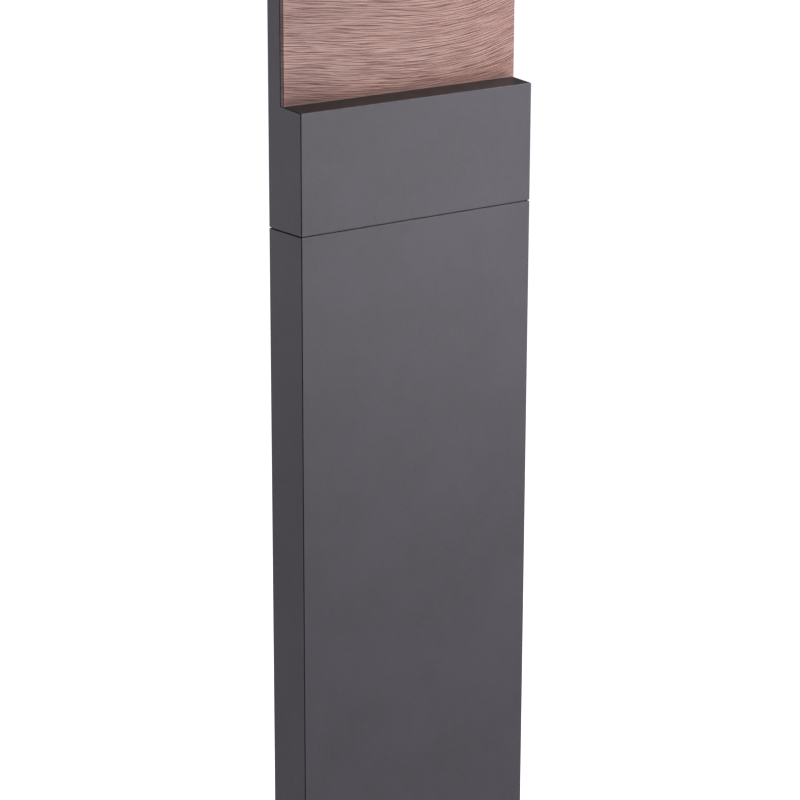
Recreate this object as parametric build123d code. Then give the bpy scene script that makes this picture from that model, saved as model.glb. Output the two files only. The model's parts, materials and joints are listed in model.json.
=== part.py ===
"""Garden bollard light: a flat rectangular aluminium post on a steel foot, with a C-shaped head.

Frame, in millimetres: the origin is the centre of the foot's underside, +Z points up, +X runs along the
width, and the front, with the wood-look panel, faces -Y.  The head's hood holds a strip of LEDs that shines
down over the panel onto the sloping ledge.  The LED driver sits inside the ledge block, and the supply cable
comes up through the foot into a connection box that hangs in the post.
"""

from build123d import *
import math
import os

# ---- driving dimensions -------------------------------------------------------------------------------
WIDTH = 180.0  # post and head, along X
DEPTH = 35.0  # post and head, along Y
HEIGHT = 800.0  # floor to the top of the hood
HOOD_HEIGHT = 40.0
RECESS_HEIGHT = 120.0  # ledge front edge to hood underside
LEDGE_HEIGHT = 76.4
LEDGE_SLOPE = 4.0  # degrees, so that rain runs off to the front
SETBACK = 18.0  # front face of the head to front face of the panel
PANEL_THICKNESS = 3.0
PANEL_LOW_GAP = 0.1  # panel to ledge
PANEL_TOP_GAP = 0.6  # panel to hood
PANEL_CHAMFER = 0.3
TAPE_THICKNESS = 0.8
SEAM_GAP = 0.6  # shadow gap between head and post
SEAM_INSET = 1.2  # how far the seal in the gap lies behind the faces
POST_WALL = 2.0
HEAD_WALL = 2.8
UPRIGHT_EDGE_RADIUS = 0.5  # vertical outer edges
LEVEL_EDGE_RADIUS = 0.4  # level outer edges
LIP_RADIUS = 0.7  # front edges of the ledge and of the hood's underside
LIFT_CLEARANCE = 0.4  # post to foot uprights, and post to spigot

FOOT_LENGTH = 230.0
FOOT_DEPTH = 110.0
FOOT_THICKNESS = 5.0
ANCHOR_SPACING_X = 200.0
ANCHOR_SPACING_Y = 80.0
ANCHOR_HOLE = 9.0
CABLE_Y = 1.0  # the supply cable's axis lies at X 0 and this Y
CABLE_ENTRY_BORE = 11.0

# ---- levels and faces that follow ---------------------------------------------------------------------
Z_POST = FOOT_THICKNESS
Z_HOOD = HEIGHT - HOOD_HEIGHT
Z_LEDGE = Z_HOOD - RECESS_HEIGHT
Z_HEAD = Z_LEDGE - LEDGE_HEIGHT
Z_POST_TOP = Z_HEAD - SEAM_GAP
HALF_WIDTH = WIDTH / 2
HALF_DEPTH = DEPTH / 2
Y_PANEL = -HALF_DEPTH + SETBACK
Y_PANEL_BACK = Y_PANEL + PANEL_THICKNESS
Y_SPINE = Y_PANEL_BACK + TAPE_THICKNESS

# post bore and the spigot that fits it
POST_IN_X = HALF_WIDTH - POST_WALL
POST_IN_Y = HALF_DEPTH - POST_WALL
SPIGOT_X = POST_IN_X - LIFT_CLEARANCE
SPIGOT_Y = POST_IN_Y - LIFT_CLEARANCE
SPIGOT_WALL = 3.0
SPIGOT_LENGTH = 20.0
COUPLING_PLATE = 3.0
Z_COUPLING = Z_POST_TOP - COUPLING_PLATE

# head cavities
CAVITY_X = HALF_WIDTH - HEAD_WALL
CAVITY_Y = HALF_DEPTH - HEAD_WALL
Z_CAVITY_TOP = Z_LEDGE - 3.5
SPINE_POCKET_Y = 14.0
SPINE_POCKET_LOW = Z_LEDGE + 12.0
SPINE_POCKET_HIGH = Z_HOOD - 8.0
WIRE_X = 44.0
WIRE_Y = 9.5
WIRE_CROSS_Z = Z_HOOD + 9.0
WIRE_BORE = 8.0
LED_Y = -8.0
BEZEL_X = 82.0
BEZEL_DEPTH = 14.4
BEZEL_POCKET = 4.5
CHAMBER_X = 76.0
CHAMBER_DEPTH = 10.8
Z_CHAMBER = Z_HOOD + BEZEL_POCKET
Z_CHAMBER_TOP = Z_HOOD + 25.0
Z_BOARD = Z_CHAMBER_TOP - 5.2  # underside of the LED board, where the packages sit
BOARD_THICKNESS = 1.2
BEZEL_SCREW_X = 79.0
Z_BEZEL_SCREW = Z_HOOD + 0.55
CARRIER_SCREW_X = 68.0
COUPLING_SCREW_X = 76.0
COUPLING_SCREW_Y = 8.0
PILLAR_HEIGHT = 20.0

# driver, hung from the top of the ledge cavity
DRIVER_X0 = -72.0
DRIVER_X1 = 12.0
DRIVER_HALF_DEPTH = 10.5
DRIVER_EAR = 10.0
Z_DRIVER_TOP = Z_CAVITY_TOP - 6.0
Z_DRIVER = Z_DRIVER_TOP - 35.0
MAINS_EXIT_Z = Z_DRIVER + 7.0
MAINS_EXIT_Y = -4.0
LED_EXIT_Z = Z_DRIVER + 15.0
LED_EXIT_Y = 4.0

# gear tray and connection box
TRAY_THICKNESS = 1.5
Y_TRAY = 10.4
TRAY_LEFT = -22.0
TRAY_RIGHT = 38.0
TRAY_NECK = 22.0
Z_TRAY = 100.0
Z_TRAY_NECK = Z_POST_TOP - 45.0
Z_TRAY_TOP = Z_COUPLING
TRAY_SCREW_X = 12.0
TRAY_SCREW_Y = 2.0
BOX_X = 44.0
BOX_FRONT = -12.4
BOX_WALL = 2.0
BOX_LID = 3.0
BOX_SEAL = 1.0
Z_BOX = 96.0
Z_BOX_TOP = 168.0
GLAND_BOSS = 8.0
BOX_SCREW_X = 16.0
BOX_SCREW_Z = 152.0
LID_SCREW_X = BOX_X - 5.0
LEAD_X = 28.0
LEAD_Y = 6.6
TERMINAL_PITCH = 11.0
Z_TERMINAL = 116.0
Z_TERMINAL_TOP = 134.0
TERMINAL_FRONT = -4.0
TERMINAL_WIRE_Y = 2.0
BOND_WIRE_Y = 4.2  # the earth bond lies behind the earth core, in the same slot
RING_THICKNESS = 0.8
RING_TAIL = 9.0

# wires
LEAD_DIAMETER = 6.2
LED_WIRE_DIAMETER = 1.8
LED_WIRE_PITCH = 2.4
CORE_DIAMETER = 2.0
CORE_SPREAD = 1.6  # between the cores' axes where they leave the sheath
CORE_LEVEL_STEP = 4.5  # between the levels at which they turn off to their terminals

# foot details
UPRIGHT_THICKNESS = 3.0
UPRIGHT_HALF = 12.5
UPRIGHT_HEIGHT = 45.0
UPRIGHT_LEG = 24.0
CLAMP_Z = 28.0
CLAMP_THREAD = 6.0
CLAMP_SLOT = 6.6
WASHER_THICKNESS = 1.2
UPRIGHT_SCREW_X = 72.0
UPRIGHT_SCREW_Y = 7.0
Z_UPRIGHT_SCREW = 0.2
SPIGOT_SCREW_X = 50.0
SPIGOT_SCREW_Z = 550.0

LED_COUNT = 12
LED_PITCH = 11.0
CLIP_LEVELS = (250.0, 370.0, 490.0)


# ---- small helpers ------------------------------------------------------------------------------------
def block(x0, x1, y0, y1, z0, z1):
    """A box between two corners."""
    centre = ((x0 + x1) / 2, (y0 + y1) / 2, (z0 + z1) / 2)
    return Pos(*centre) * Box(x1 - x0, y1 - y0, z1 - z0)


def centred(half_x, half_y, z0, z1, y=0.0):
    """A box centred on X 0 and the given Y."""
    return block(-half_x, half_x, y - half_y, y + half_y, z0, z1)


def rod_z(x, y, z0, z1, diameter):
    return Pos(x, y, (z0 + z1) / 2) * Cylinder(diameter / 2, z1 - z0)


def rod_y(x, z, y0, y1, diameter):
    return Pos(x, (y0 + y1) / 2, z) * Rot(90, 0, 0) * Cylinder(diameter / 2, y1 - y0)


def rod_x(y, z, x0, x1, diameter):
    return Pos((x0 + x1) / 2, y, z) * Rot(0, 90, 0) * Cylinder(diameter / 2, x1 - x0)


def hex_z(x, y, z0, z1, across_flats):
    """A hexagonal prism along Z with two flats facing +Y and -Y."""
    outline = RegularPolygon(across_flats / 2, 6, major_radius=False)
    return Pos(x, y, z0) * extrude(outline, z1 - z0)


def edges_along(solid, axis, *spots):
    """The solid's straight edges parallel to axis whose centres pass any of the tests."""
    return [e for e in solid.edges().filter_by(axis) if any(test(e.center()) for test in spots)]


def socket_screw(thread, length, head, head_height, socket):
    """A button-head screw: its head's underside at Z 0, the shank pointing down and the socket on top."""
    cap = Cylinder(head / 2, head_height, align=(Align.CENTER, Align.CENTER, Align.MIN))
    cap = fillet(cap.edges().group_by(Axis.Z)[-1], head_height * 0.6)
    shank = Cylinder(thread / 2, length, align=(Align.CENTER, Align.CENTER, Align.MAX))
    shank = chamfer(shank.edges().group_by(Axis.Z)[0], thread * 0.12)
    key = RegularPolygon(socket / 2, 6, major_radius=False)
    recess = Pos(0, 0, head_height * 0.4) * extrude(key, head_height)
    return cap + shank - recess


def countersink_cone(thread, head):
    """The 45 degree cone of a countersunk head: its wide end at Z 0, narrowing downwards."""
    height = (head - thread) / 2
    return Pos(0, 0, -height / 2) * Cone(thread / 2, head / 2, height)


def countersunk_screw(thread, length, head, socket):
    """A countersunk screw: its flat top at Z 0 and its shank pointing down."""
    shank = Cylinder(thread / 2, length, align=(Align.CENTER, Align.CENTER, Align.MAX))
    shank = chamfer(shank.edges().group_by(Axis.Z)[0], thread * 0.12)
    key = RegularPolygon(socket / 2, 6, major_radius=False)
    recess = Pos(0, 0, -socket * 0.4) * extrude(key, socket)
    return countersink_cone(thread, head) + shank - recess


def countersink(thread, head, clearance):
    """What is cut away for a countersunk screw: its cone, a mouth above and a clearance hole below."""
    mouth = Cylinder(head / 2, 3, align=(Align.CENTER, Align.CENTER, Align.MIN))
    hole = Cylinder(thread / 2 + clearance, 12, align=(Align.CENTER, Align.CENTER, Align.MAX))
    return countersink_cone(thread, head) + mouth + hole


def wire(points, radii, diameter):
    """A round wire along straight runs joined by tangent arcs."""
    route = FilletPolyline(*points, radius=radii) if radii else Line(*points)
    section = Plane(origin=route @ 0, z_dir=route % 0) * Circle(diameter / 2)
    return sweep(section, path=route)


def ledge_height(y):
    """The ledge's top surface at a given Y."""
    return Z_LEDGE + (y + HALF_DEPTH) * math.tan(math.radians(LEDGE_SLOPE))


def corners(x, y):
    return [(sx * x, sy * y) for sx in (-1, 1) for sy in (-1, 1)]


# ---- head ---------------------------------------------------------------------------------------------
def head_shell():
    """The C-shaped outside of the head, with its softened edges."""
    outline = Polyline(
        (-HALF_DEPTH, Z_HEAD),
        (-HALF_DEPTH, Z_LEDGE),
        (Y_SPINE, ledge_height(Y_SPINE)),
        (Y_SPINE, Z_HOOD),
        (-HALF_DEPTH, Z_HOOD),
        (-HALF_DEPTH, HEIGHT),
        (HALF_DEPTH, HEIGHT),
        (HALF_DEPTH, Z_HEAD),
        close=True,
    )
    shell = extrude(Plane.YZ * make_face(outline), HALF_WIDTH, both=True)
    upright = edges_along(shell, Axis.Z, lambda c: abs(abs(c.Y) - HALF_DEPTH) < 0.01)
    shell = fillet(upright, UPRIGHT_EDGE_RADIUS)
    by_height = shell.edges().group_by(Axis.Z)
    shell = fillet(by_height[0] + by_height[-1], LEVEL_EDGE_RADIUS)
    lips = edges_along(
        shell,
        Axis.X,
        lambda c: abs(c.Y + HALF_DEPTH) < 0.01 and (abs(c.Z - Z_LEDGE) < 0.01 or abs(c.Z - Z_HOOD) < 0.01),
    )
    return fillet(lips, LIP_RADIUS)


def ledge_cavity():
    """The hollow of the ledge block, open below, without the pillars and bosses that stand in it."""
    hollow = centred(CAVITY_X, CAVITY_Y, Z_HEAD, Z_CAVITY_TOP)
    hollow = fillet(hollow.edges().filter_by(Axis.Z), 2.0)
    for x, y in corners(COUPLING_SCREW_X, COUPLING_SCREW_Y):
        wall = math.copysign(CAVITY_Y, y)
        hollow -= block(x - 5, x + 5, min(y, wall), max(y, wall), Z_HEAD, Z_HEAD + PILLAR_HEIGHT)
        hollow -= rod_z(x, y, Z_HEAD, Z_HEAD + PILLAR_HEIGHT, 10)
    for x in (DRIVER_X0 - DRIVER_EAR / 2, DRIVER_X1 + DRIVER_EAR / 2):
        hollow -= rod_z(x, 0, Z_DRIVER_TOP, Z_CAVITY_TOP, 9)
    return hollow


def spine_pockets():
    """The pockets in the spine's front, which the panel covers, and the way through for the LED wires."""
    pockets = [
        block(x0, x1, Y_SPINE, SPINE_POCKET_Y, SPINE_POCKET_LOW, SPINE_POCKET_HIGH)
        for x0, x1 in ((-84.0, -28.0), (-24.0, 32.0), (36.0, 52.0), (56.0, 84.0))
    ]
    pockets = [fillet(p.edges().filter_by(Axis.Y), 2.0) for p in pockets]
    riser = rod_z(WIRE_X, WIRE_Y, Z_CAVITY_TOP - 0.01, WIRE_CROSS_Z, WIRE_BORE)
    bend = Pos(WIRE_X, WIRE_Y, WIRE_CROSS_Z) * Sphere(WIRE_BORE / 2)
    cross = rod_y(WIRE_X, WIRE_CROSS_Z, LED_Y, WIRE_Y, WIRE_BORE)
    return pockets + [riser, bend, cross]


def led_chamber():
    """The stepped recess in the hood's underside: a pocket for the bezel, and the chamber above it."""
    pocket = centred(BEZEL_X, BEZEL_DEPTH / 2, Z_HOOD - 1, Z_CHAMBER, LED_Y)
    pocket = fillet(pocket.edges().filter_by(Axis.Z), 1.5)
    chamber = centred(CHAMBER_X, CHAMBER_DEPTH / 2, Z_HOOD, Z_CHAMBER_TOP, LED_Y)
    chamber = fillet(chamber.edges().filter_by(Axis.Z), 1.5)
    holes = [rod_z(s * BEZEL_SCREW_X, LED_Y, Z_HOOD, Z_CHAMBER + 9, 2.6) for s in (-1, 1)]
    holes += [rod_z(s * CARRIER_SCREW_X, LED_Y, Z_HOOD, Z_CHAMBER_TOP + 8, 2.6) for s in (-1, 1)]
    return [pocket, chamber] + holes


def head_housing():
    body = head_shell() - ledge_cavity()
    for tool in spine_pockets() + led_chamber():
        body -= tool
    for x, y in corners(COUPLING_SCREW_X, COUPLING_SCREW_Y):
        body += rod_z(x, y, Z_POST_TOP, Z_HEAD + 1, 8)
        body -= rod_z(x, y, Z_POST_TOP - 1, Z_HEAD + 14, 4.2)
    for x in (DRIVER_X0 - DRIVER_EAR / 2, DRIVER_X1 + DRIVER_EAR / 2):
        body -= rod_z(x, 0, Z_DRIVER_TOP - 1, Z_CAVITY_TOP + 1, 3.1)
    return body


def wood_panel():
    """A wood-look sheet as wide as the head; its lower edge follows the ledge's slope."""
    top = Z_HOOD - PANEL_TOP_GAP
    section = Polyline(
        (Y_PANEL, ledge_height(Y_PANEL) + PANEL_LOW_GAP),
        (Y_PANEL, top),
        (Y_PANEL_BACK, top),
        (Y_PANEL_BACK, ledge_height(Y_PANEL_BACK) + PANEL_LOW_GAP),
        close=True,
    )
    sheet = extrude(Plane.YZ * make_face(section), HALF_WIDTH, both=True)
    front = sheet.faces().sort_by(Axis.Y)[0].edges()
    return chamfer(front.sort_by(Axis.Z)[1:], PANEL_CHAMFER)


def panel_tape():
    """Foam tape round the edge of the panel's back."""
    low, high = Z_LEDGE + 4.0, Z_HOOD - 2.0
    outer = block(-88.8, 88.8, Y_PANEL_BACK, Y_SPINE, low, high)
    inner = block(-84.4, 84.4, Y_PANEL_BACK - 1, Y_SPINE + 1, low + 6, high - 5)
    return outer - inner


def led_carrier():
    bar = centred(73.0, 5.0, Z_CHAMBER_TOP - 4, Z_CHAMBER_TOP, LED_Y)
    for s in (-1, 1):
        bar -= rod_z(s * CARRIER_SCREW_X, LED_Y, Z_CHAMBER_TOP - 5, Z_CHAMBER_TOP + 1, 3.2)
    return bar



def led_board():
    board = centred(72.0, 4.5, Z_BOARD, Z_BOARD + BOARD_THICKNESS, LED_Y)
    for s in (-1, 1):
        board -= rod_z(s * CARRIER_SCREW_X, LED_Y, Z_BOARD - 1, Z_BOARD + 2, 3.2)
    return board


def led_chips():
    """A row of white LED packages, each a small block with a domed window."""
    chips = []
    for i in range(LED_COUNT):
        x = (i - (LED_COUNT - 1) / 2) * LED_PITCH
        package = block(x - 1.75, x + 1.75, LED_Y - 1.4, LED_Y + 1.4, Z_BOARD - 0.8, Z_BOARD)
        chips.append(package - rod_z(x, LED_Y, Z_BOARD - 1.2, Z_BOARD - 0.55, 2.2))
    return Compound(chips)


def led_connector():
    body = block(WIRE_X - 3.5, WIRE_X + 3.5, LED_Y - 3, LED_Y + 3, Z_BOARD - 3.4, Z_BOARD)
    bore = LED_WIRE_DIAMETER + 0.2
    for s in (-1, 1):
        body -= rod_z(WIRE_X + s * LED_WIRE_PITCH / 2, LED_Y, Z_BOARD - 4, Z_BOARD - 1, bore)
    return body


def carrier_screws():
    low = Z_BOARD
    screw = socket_screw(2.5, 12.0, 5.0, 1.6, 2.0)
    return Compound([Pos(s * CARRIER_SCREW_X, LED_Y, low) * Rot(180, 0, 0) * screw for s in (-1, 1)])


def diffuser_gasket():
    outer = centred(BEZEL_X - 0.3, BEZEL_DEPTH / 2 - 0.3, Z_CHAMBER - 1, Z_CHAMBER, LED_Y)
    outer = fillet(outer.edges().filter_by(Axis.Z), 1.2)
    inner = centred(CHAMBER_X, CHAMBER_DEPTH / 2, Z_CHAMBER - 2, Z_CHAMBER + 1, LED_Y)
    gasket = outer - inner
    for s in (-1, 1):
        gasket -= rod_z(s * BEZEL_SCREW_X, LED_Y, Z_CHAMBER - 2, Z_CHAMBER + 1, 3.2)
    return gasket


def diffuser():
    """An opal strip: the bezel clamps its flange, and its raised middle fills the bezel's window."""
    flange = centred(BEZEL_X - 0.4, BEZEL_DEPTH / 2 - 0.4, Z_CHAMBER - 2.5, Z_CHAMBER - 1, LED_Y)
    flange = fillet(flange.edges().filter_by(Axis.Z), 1.1)
    window = centred(73.8, 3.8, Z_HOOD + 0.3, Z_CHAMBER - 2.0, LED_Y)
    window = fillet(window.edges().filter_by(Axis.Z), 1.5)
    lens = flange + window
    for s in (-1, 1):
        lens -= rod_z(s * BEZEL_SCREW_X, LED_Y, Z_CHAMBER - 3, Z_CHAMBER, 3.2)
    return lens


def diffuser_bezel():
    plate = centred(BEZEL_X - 0.3, BEZEL_DEPTH / 2 - 0.3, Z_HOOD + 0.5, Z_CHAMBER - 2.5, LED_Y)
    plate = fillet(plate.edges().filter_by(Axis.Z), 1.2)
    window = centred(74.0, 4.0, Z_HOOD, Z_CHAMBER, LED_Y)
    plate -= fillet(window.edges().filter_by(Axis.Z), 1.7)
    for s in (-1, 1):
        plate -= Pos(s * BEZEL_SCREW_X, LED_Y, Z_BEZEL_SCREW) * Rot(180, 0, 0) * countersink(2.5, 4.9, 0.1)
    return plate


def bezel_screws():
    screw = Rot(180, 0, 0) * countersunk_screw(2.5, 11.0, 4.9, 1.5)
    return Compound([Pos(s * BEZEL_SCREW_X, LED_Y, Z_BEZEL_SCREW) * screw for s in (-1, 1)])


def led_driver():
    """The potted power supply, with an ear at each end and two wire exits at its right-hand end."""
    case = block(DRIVER_X0, DRIVER_X1, -DRIVER_HALF_DEPTH, DRIVER_HALF_DEPTH, Z_DRIVER, Z_DRIVER_TOP)
    case = fillet(case.edges().filter_by(Axis.X), 2.5)
    for x0, x1 in ((DRIVER_X0 - DRIVER_EAR, DRIVER_X0), (DRIVER_X1, DRIVER_X1 + DRIVER_EAR)):
        ear = block(x0, x1, -6, 6, Z_DRIVER_TOP - 3.5, Z_DRIVER_TOP)
        case += ear - rod_z((x0 + x1) / 2, 0, Z_DRIVER_TOP - 4, Z_DRIVER_TOP + 1, 3.4)
    return case


def driver_screws():
    screw = socket_screw(3.0, 10.0, 6.0, 2.2, 2.5)
    low = Z_DRIVER_TOP - 3.5
    spots = (DRIVER_X0 - DRIVER_EAR / 2, DRIVER_X1 + DRIVER_EAR / 2)
    return Compound([Pos(x, 0, low) * Rot(180, 0, 0) * screw for x in spots])


def led_wires():
    """Two single wires from the driver, up through the spine and across into the LED chamber."""
    wires = []
    for s in (-1, 1):
        x = WIRE_X + s * LED_WIRE_PITCH / 2
        start_z = LED_EXIT_Z - s * LED_WIRE_PITCH / 2
        points = [
            (DRIVER_X1, LED_EXIT_Y, start_z),
            (DRIVER_X1 + 12.0, LED_EXIT_Y, start_z),
            (x, WIRE_Y, start_z),
            (x, WIRE_Y, WIRE_CROSS_Z),
            (x, LED_Y, WIRE_CROSS_Z),
            (x, LED_Y, Z_BOARD - 1.2),
        ]
        wires.append(wire(points, [40.0, 9.0, 7.5, 7.0], LED_WIRE_DIAMETER))
    return Compound(wires)


def wire_grommet():
    """A rubber plug with two holes where the LED wires leave the ledge cavity."""
    plug = rod_z(WIRE_X, WIRE_Y, Z_CAVITY_TOP, Z_CAVITY_TOP + 7, WIRE_BORE)
    plug += rod_z(WIRE_X, WIRE_Y, Z_CAVITY_TOP - 1.5, Z_CAVITY_TOP, 10)
    for s in (-1, 1):
        x = WIRE_X + s * LED_WIRE_PITCH / 2
        plug -= rod_z(x, WIRE_Y, Z_CAVITY_TOP - 2, Z_CAVITY_TOP + 8, LED_WIRE_DIAMETER + 0.1)
    return plug


# ---- joint between head and post ----------------------------------------------------------------------
def coupling():
    """A cast plate and skirt that plugs into the post and carries the head."""
    body = centred(SPIGOT_X, SPIGOT_Y, Z_POST_TOP - COUPLING_PLATE - SPIGOT_LENGTH, Z_POST_TOP)
    body = fillet(body.edges().filter_by(Axis.Z), 0.8)
    inner_x, inner_y = SPIGOT_X - SPIGOT_WALL, SPIGOT_Y - SPIGOT_WALL
    body -= centred(inner_x, inner_y, Z_COUPLING - SPIGOT_LENGTH - 1, Z_COUPLING)
    body -= block(28.0, 66.0, -9.0, 9.0, Z_COUPLING - 1, Z_POST_TOP + 1)
    for x, y in corners(COUPLING_SCREW_X, COUPLING_SCREW_Y):
        body -= rod_z(x, y, Z_COUPLING - 1, Z_POST_TOP + 1, 4.4)
    for s in (-1, 1):
        body -= rod_z(s * TRAY_SCREW_X, TRAY_SCREW_Y, Z_COUPLING - 1, Z_POST_TOP + 1, 4.1)
        body -= rod_y(s * SPIGOT_SCREW_X, SPIGOT_SCREW_Z, inner_y - 1, SPIGOT_Y + 1, 4.1)
    return body


def seam_gasket():
    """The dark rubber frame in the shadow gap."""
    half_x, half_y = HALF_WIDTH - SEAM_INSET, HALF_DEPTH - SEAM_INSET
    outer = centred(half_x, half_y, Z_POST_TOP, Z_HEAD)
    return outer - centred(half_x - 2.6, half_y - 2.6, Z_POST_TOP - 1, Z_HEAD + 1)


def coupling_screws():
    screw = socket_screw(4.0, 16.0, 7.6, 2.4, 2.5)
    spots = corners(COUPLING_SCREW_X, COUPLING_SCREW_Y)
    return Compound([Pos(x, y, Z_COUPLING) * Rot(180, 0, 0) * screw for x, y in spots])


def spigot_screws():
    """Two screws through the post's back into the coupling's skirt."""
    screw = socket_screw(4.0, 7.0, 7.6, 2.2, 2.5)
    places = [Pos(s * SPIGOT_SCREW_X, HALF_DEPTH, SPIGOT_SCREW_Z) for s in (-1, 1)]
    return Compound([place * Rot(-90, 0, 0) * screw for place in places])


# ---- post and its gear --------------------------------------------------------------------------------
def post_profile():
    """A rectangular extrusion, with an open-ended slot at the bottom of each narrow side."""
    tube = centred(HALF_WIDTH, HALF_DEPTH, Z_POST, Z_POST_TOP)
    tube = fillet(tube.edges().filter_by(Axis.Z), UPRIGHT_EDGE_RADIUS)
    tube = fillet(tube.faces().sort_by(Axis.Z)[-1].edges(), LEVEL_EDGE_RADIUS)
    bore = centred(POST_IN_X, POST_IN_Y, Z_POST - 1, Z_POST_TOP + 1)
    tube -= fillet(bore.edges().filter_by(Axis.Z), 0.6)
    for s in (-1, 1):
        x0, x1 = sorted((s * (POST_IN_X - 1), s * (HALF_WIDTH + 1)))
        tube -= rod_x(0, CLAMP_Z, x0, x1, CLAMP_SLOT)
        tube -= block(x0, x1, -CLAMP_SLOT / 2, CLAMP_SLOT / 2, Z_POST - 1, CLAMP_Z)
        tube -= rod_y(s * SPIGOT_SCREW_X, SPIGOT_SCREW_Z, POST_IN_Y - 1, HALF_DEPTH + 1, 4.3)
    return tube


def gear_tray():
    """A bent sheet that hangs from the coupling and carries the connection box."""
    back = Y_TRAY + TRAY_THICKNESS
    wide = block(TRAY_LEFT, TRAY_RIGHT, Y_TRAY, back, Z_TRAY, Z_TRAY_NECK)
    neck = block(-TRAY_NECK, TRAY_NECK, Y_TRAY, back, Z_TRAY_NECK, Z_TRAY_TOP)
    flange = block(-TRAY_NECK, TRAY_NECK, -3.0, back, Z_TRAY_TOP - TRAY_THICKNESS, Z_TRAY_TOP)
    tray = wide + neck + flange
    bend = edges_along(tray, Axis.X, lambda c: abs(c.Y - back) < 0.01 and abs(c.Z - Z_TRAY_TOP) < 0.01)
    tray = fillet(bend, TRAY_THICKNESS)
    for s in (-1, 1):
        tray -= rod_z(s * TRAY_SCREW_X, TRAY_SCREW_Y, Z_TRAY_TOP - 3, Z_TRAY_TOP + 1, 4.4)
        tray -= rod_y(s * BOX_SCREW_X, BOX_SCREW_Z, Y_TRAY - 1, back + 1, 3.6)
    for z in CLIP_LEVELS:
        tray -= rod_y(LEAD_X - 8.0, z, Y_TRAY - 1, back + 1, 3.2)
    for z in (215.0, 300.0, 330.0, 410.0, 440.0):
        tray -= rod_y(0.0, z, Y_TRAY - 1, back + 1, 12.0)
    return tray


def tray_screws():
    screw = socket_screw(4.0, 4.5, 7.6, 2.2, 2.5)
    low = Z_TRAY_TOP - TRAY_THICKNESS
    return Compound([Pos(s * TRAY_SCREW_X, TRAY_SCREW_Y, low) * Rot(180, 0, 0) * screw for s in (-1, 1)])


def cable_clips():
    """Saddle clips that hold the supply lead to the tray, each pinned through a hole beside it."""
    clips = []
    bore = LEAD_DIAMETER + 0.2
    for z in CLIP_LEVELS:
        saddle = rod_z(LEAD_X, LEAD_Y, z - 4, z + 4, bore + 2.4)
        saddle += block(LEAD_X - 12.0, LEAD_X, Y_TRAY - 1.6, Y_TRAY, z - 4, z + 4)
        saddle -= block(LEAD_X - 20, LEAD_X + 20, Y_TRAY, Y_TRAY + 10, z - 5, z + 5)
        saddle -= rod_z(LEAD_X, LEAD_Y, z - 5, z + 5, bore)
        saddle += rod_y(LEAD_X - 8.0, z, Y_TRAY - 0.5, Y_TRAY + TRAY_THICKNESS + 1.0, 3.0)
        clips.append(saddle)
    return Compound(clips)


def connection_box():
    """The box body, open to the front, with four screw bosses and a threaded boss for each gland."""
    front = BOX_FRONT + BOX_LID + BOX_SEAL
    body = block(-BOX_X, BOX_X, front, Y_TRAY, Z_BOX, Z_BOX_TOP)
    body = fillet(body.edges().filter_by(Axis.Y), 4.0)
    half, back = BOX_X - BOX_WALL, Y_TRAY - BOX_WALL
    inside = block(-half, half, front - 1, back, Z_BOX + GLAND_BOSS, Z_BOX_TOP - GLAND_BOSS)
    for x, z in lid_screw_spots():
        inside -= rod_y(x, z, front - 1, Y_TRAY, 7.0)
    body -= inside
    for gland in (SUPPLY_GLAND, LEAD_GLAND):
        body -= gland.rod(-GLAND_BOSS - 1, 1, gland.thread + 0.1)
    for x, z in lid_screw_spots():
        body -= rod_y(x, z, front - 1, front + 10, 2.7)
    for s in (-1, 1):
        body -= rod_y(s * BOX_SCREW_X, BOX_SCREW_Z, 0, Y_TRAY + 1, 3.7)
    return body


def lid_screw_spots():
    return [(sx * LID_SCREW_X, z) for sx in (-1, 1) for z in (Z_BOX + 5.0, Z_BOX_TOP - 5.0)]


def box_seal():
    front = BOX_FRONT + BOX_LID
    outer = block(-BOX_X + 0.5, BOX_X - 0.5, front, front + BOX_SEAL, Z_BOX + 0.5, Z_BOX_TOP - 0.5)
    outer = fillet(outer.edges().filter_by(Axis.Y), 3.5)
    inner = block(-BOX_X + 2.5, BOX_X - 2.5, front - 1, front + 2, Z_BOX + 2.5, Z_BOX_TOP - 2.5)
    seal = outer - inner
    for x, z in lid_screw_spots():
        seal += rod_y(x, z, front, front + BOX_SEAL, 7.0)
        seal -= rod_y(x, z, front - 1, front + 2, 3.2)
    return seal


def box_lid():
    lid = block(-BOX_X, BOX_X, BOX_FRONT, BOX_FRONT + BOX_LID, Z_BOX, Z_BOX_TOP)
    lid = fillet(lid.edges().filter_by(Axis.Y), 4.0)
    lid = chamfer(lid.faces().sort_by(Axis.Y)[0].edges(), 0.6)
    for x, z in lid_screw_spots():
        lid -= rod_y(x, z, BOX_FRONT - 1, BOX_FRONT + BOX_LID + 1, 3.2)
        lid -= rod_y(x, z, BOX_FRONT - 1, BOX_FRONT + 1.6, 6.0)
    return lid


def lid_screws():
    screw = socket_screw(2.6, 9.0, 5.4, 1.4, 2.0)
    y = BOX_FRONT + 1.6
    return Compound([Pos(x, y, z) * Rot(90, 0, 0) * screw for x, z in lid_screw_spots()])


def box_screws():
    """Two screws from inside the box into the tray; a ring terminal lies under the right-hand one."""
    screw = socket_screw(3.4, 7.0, 6.4, 2.0, 2.5)
    y = Y_TRAY - BOX_WALL
    places = [Pos(-BOX_SCREW_X, y, BOX_SCREW_Z), Pos(BOX_SCREW_X, y - RING_THICKNESS, BOX_SCREW_Z)]
    return Compound([place * Rot(90, 0, 0) * screw for place in places])



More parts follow.
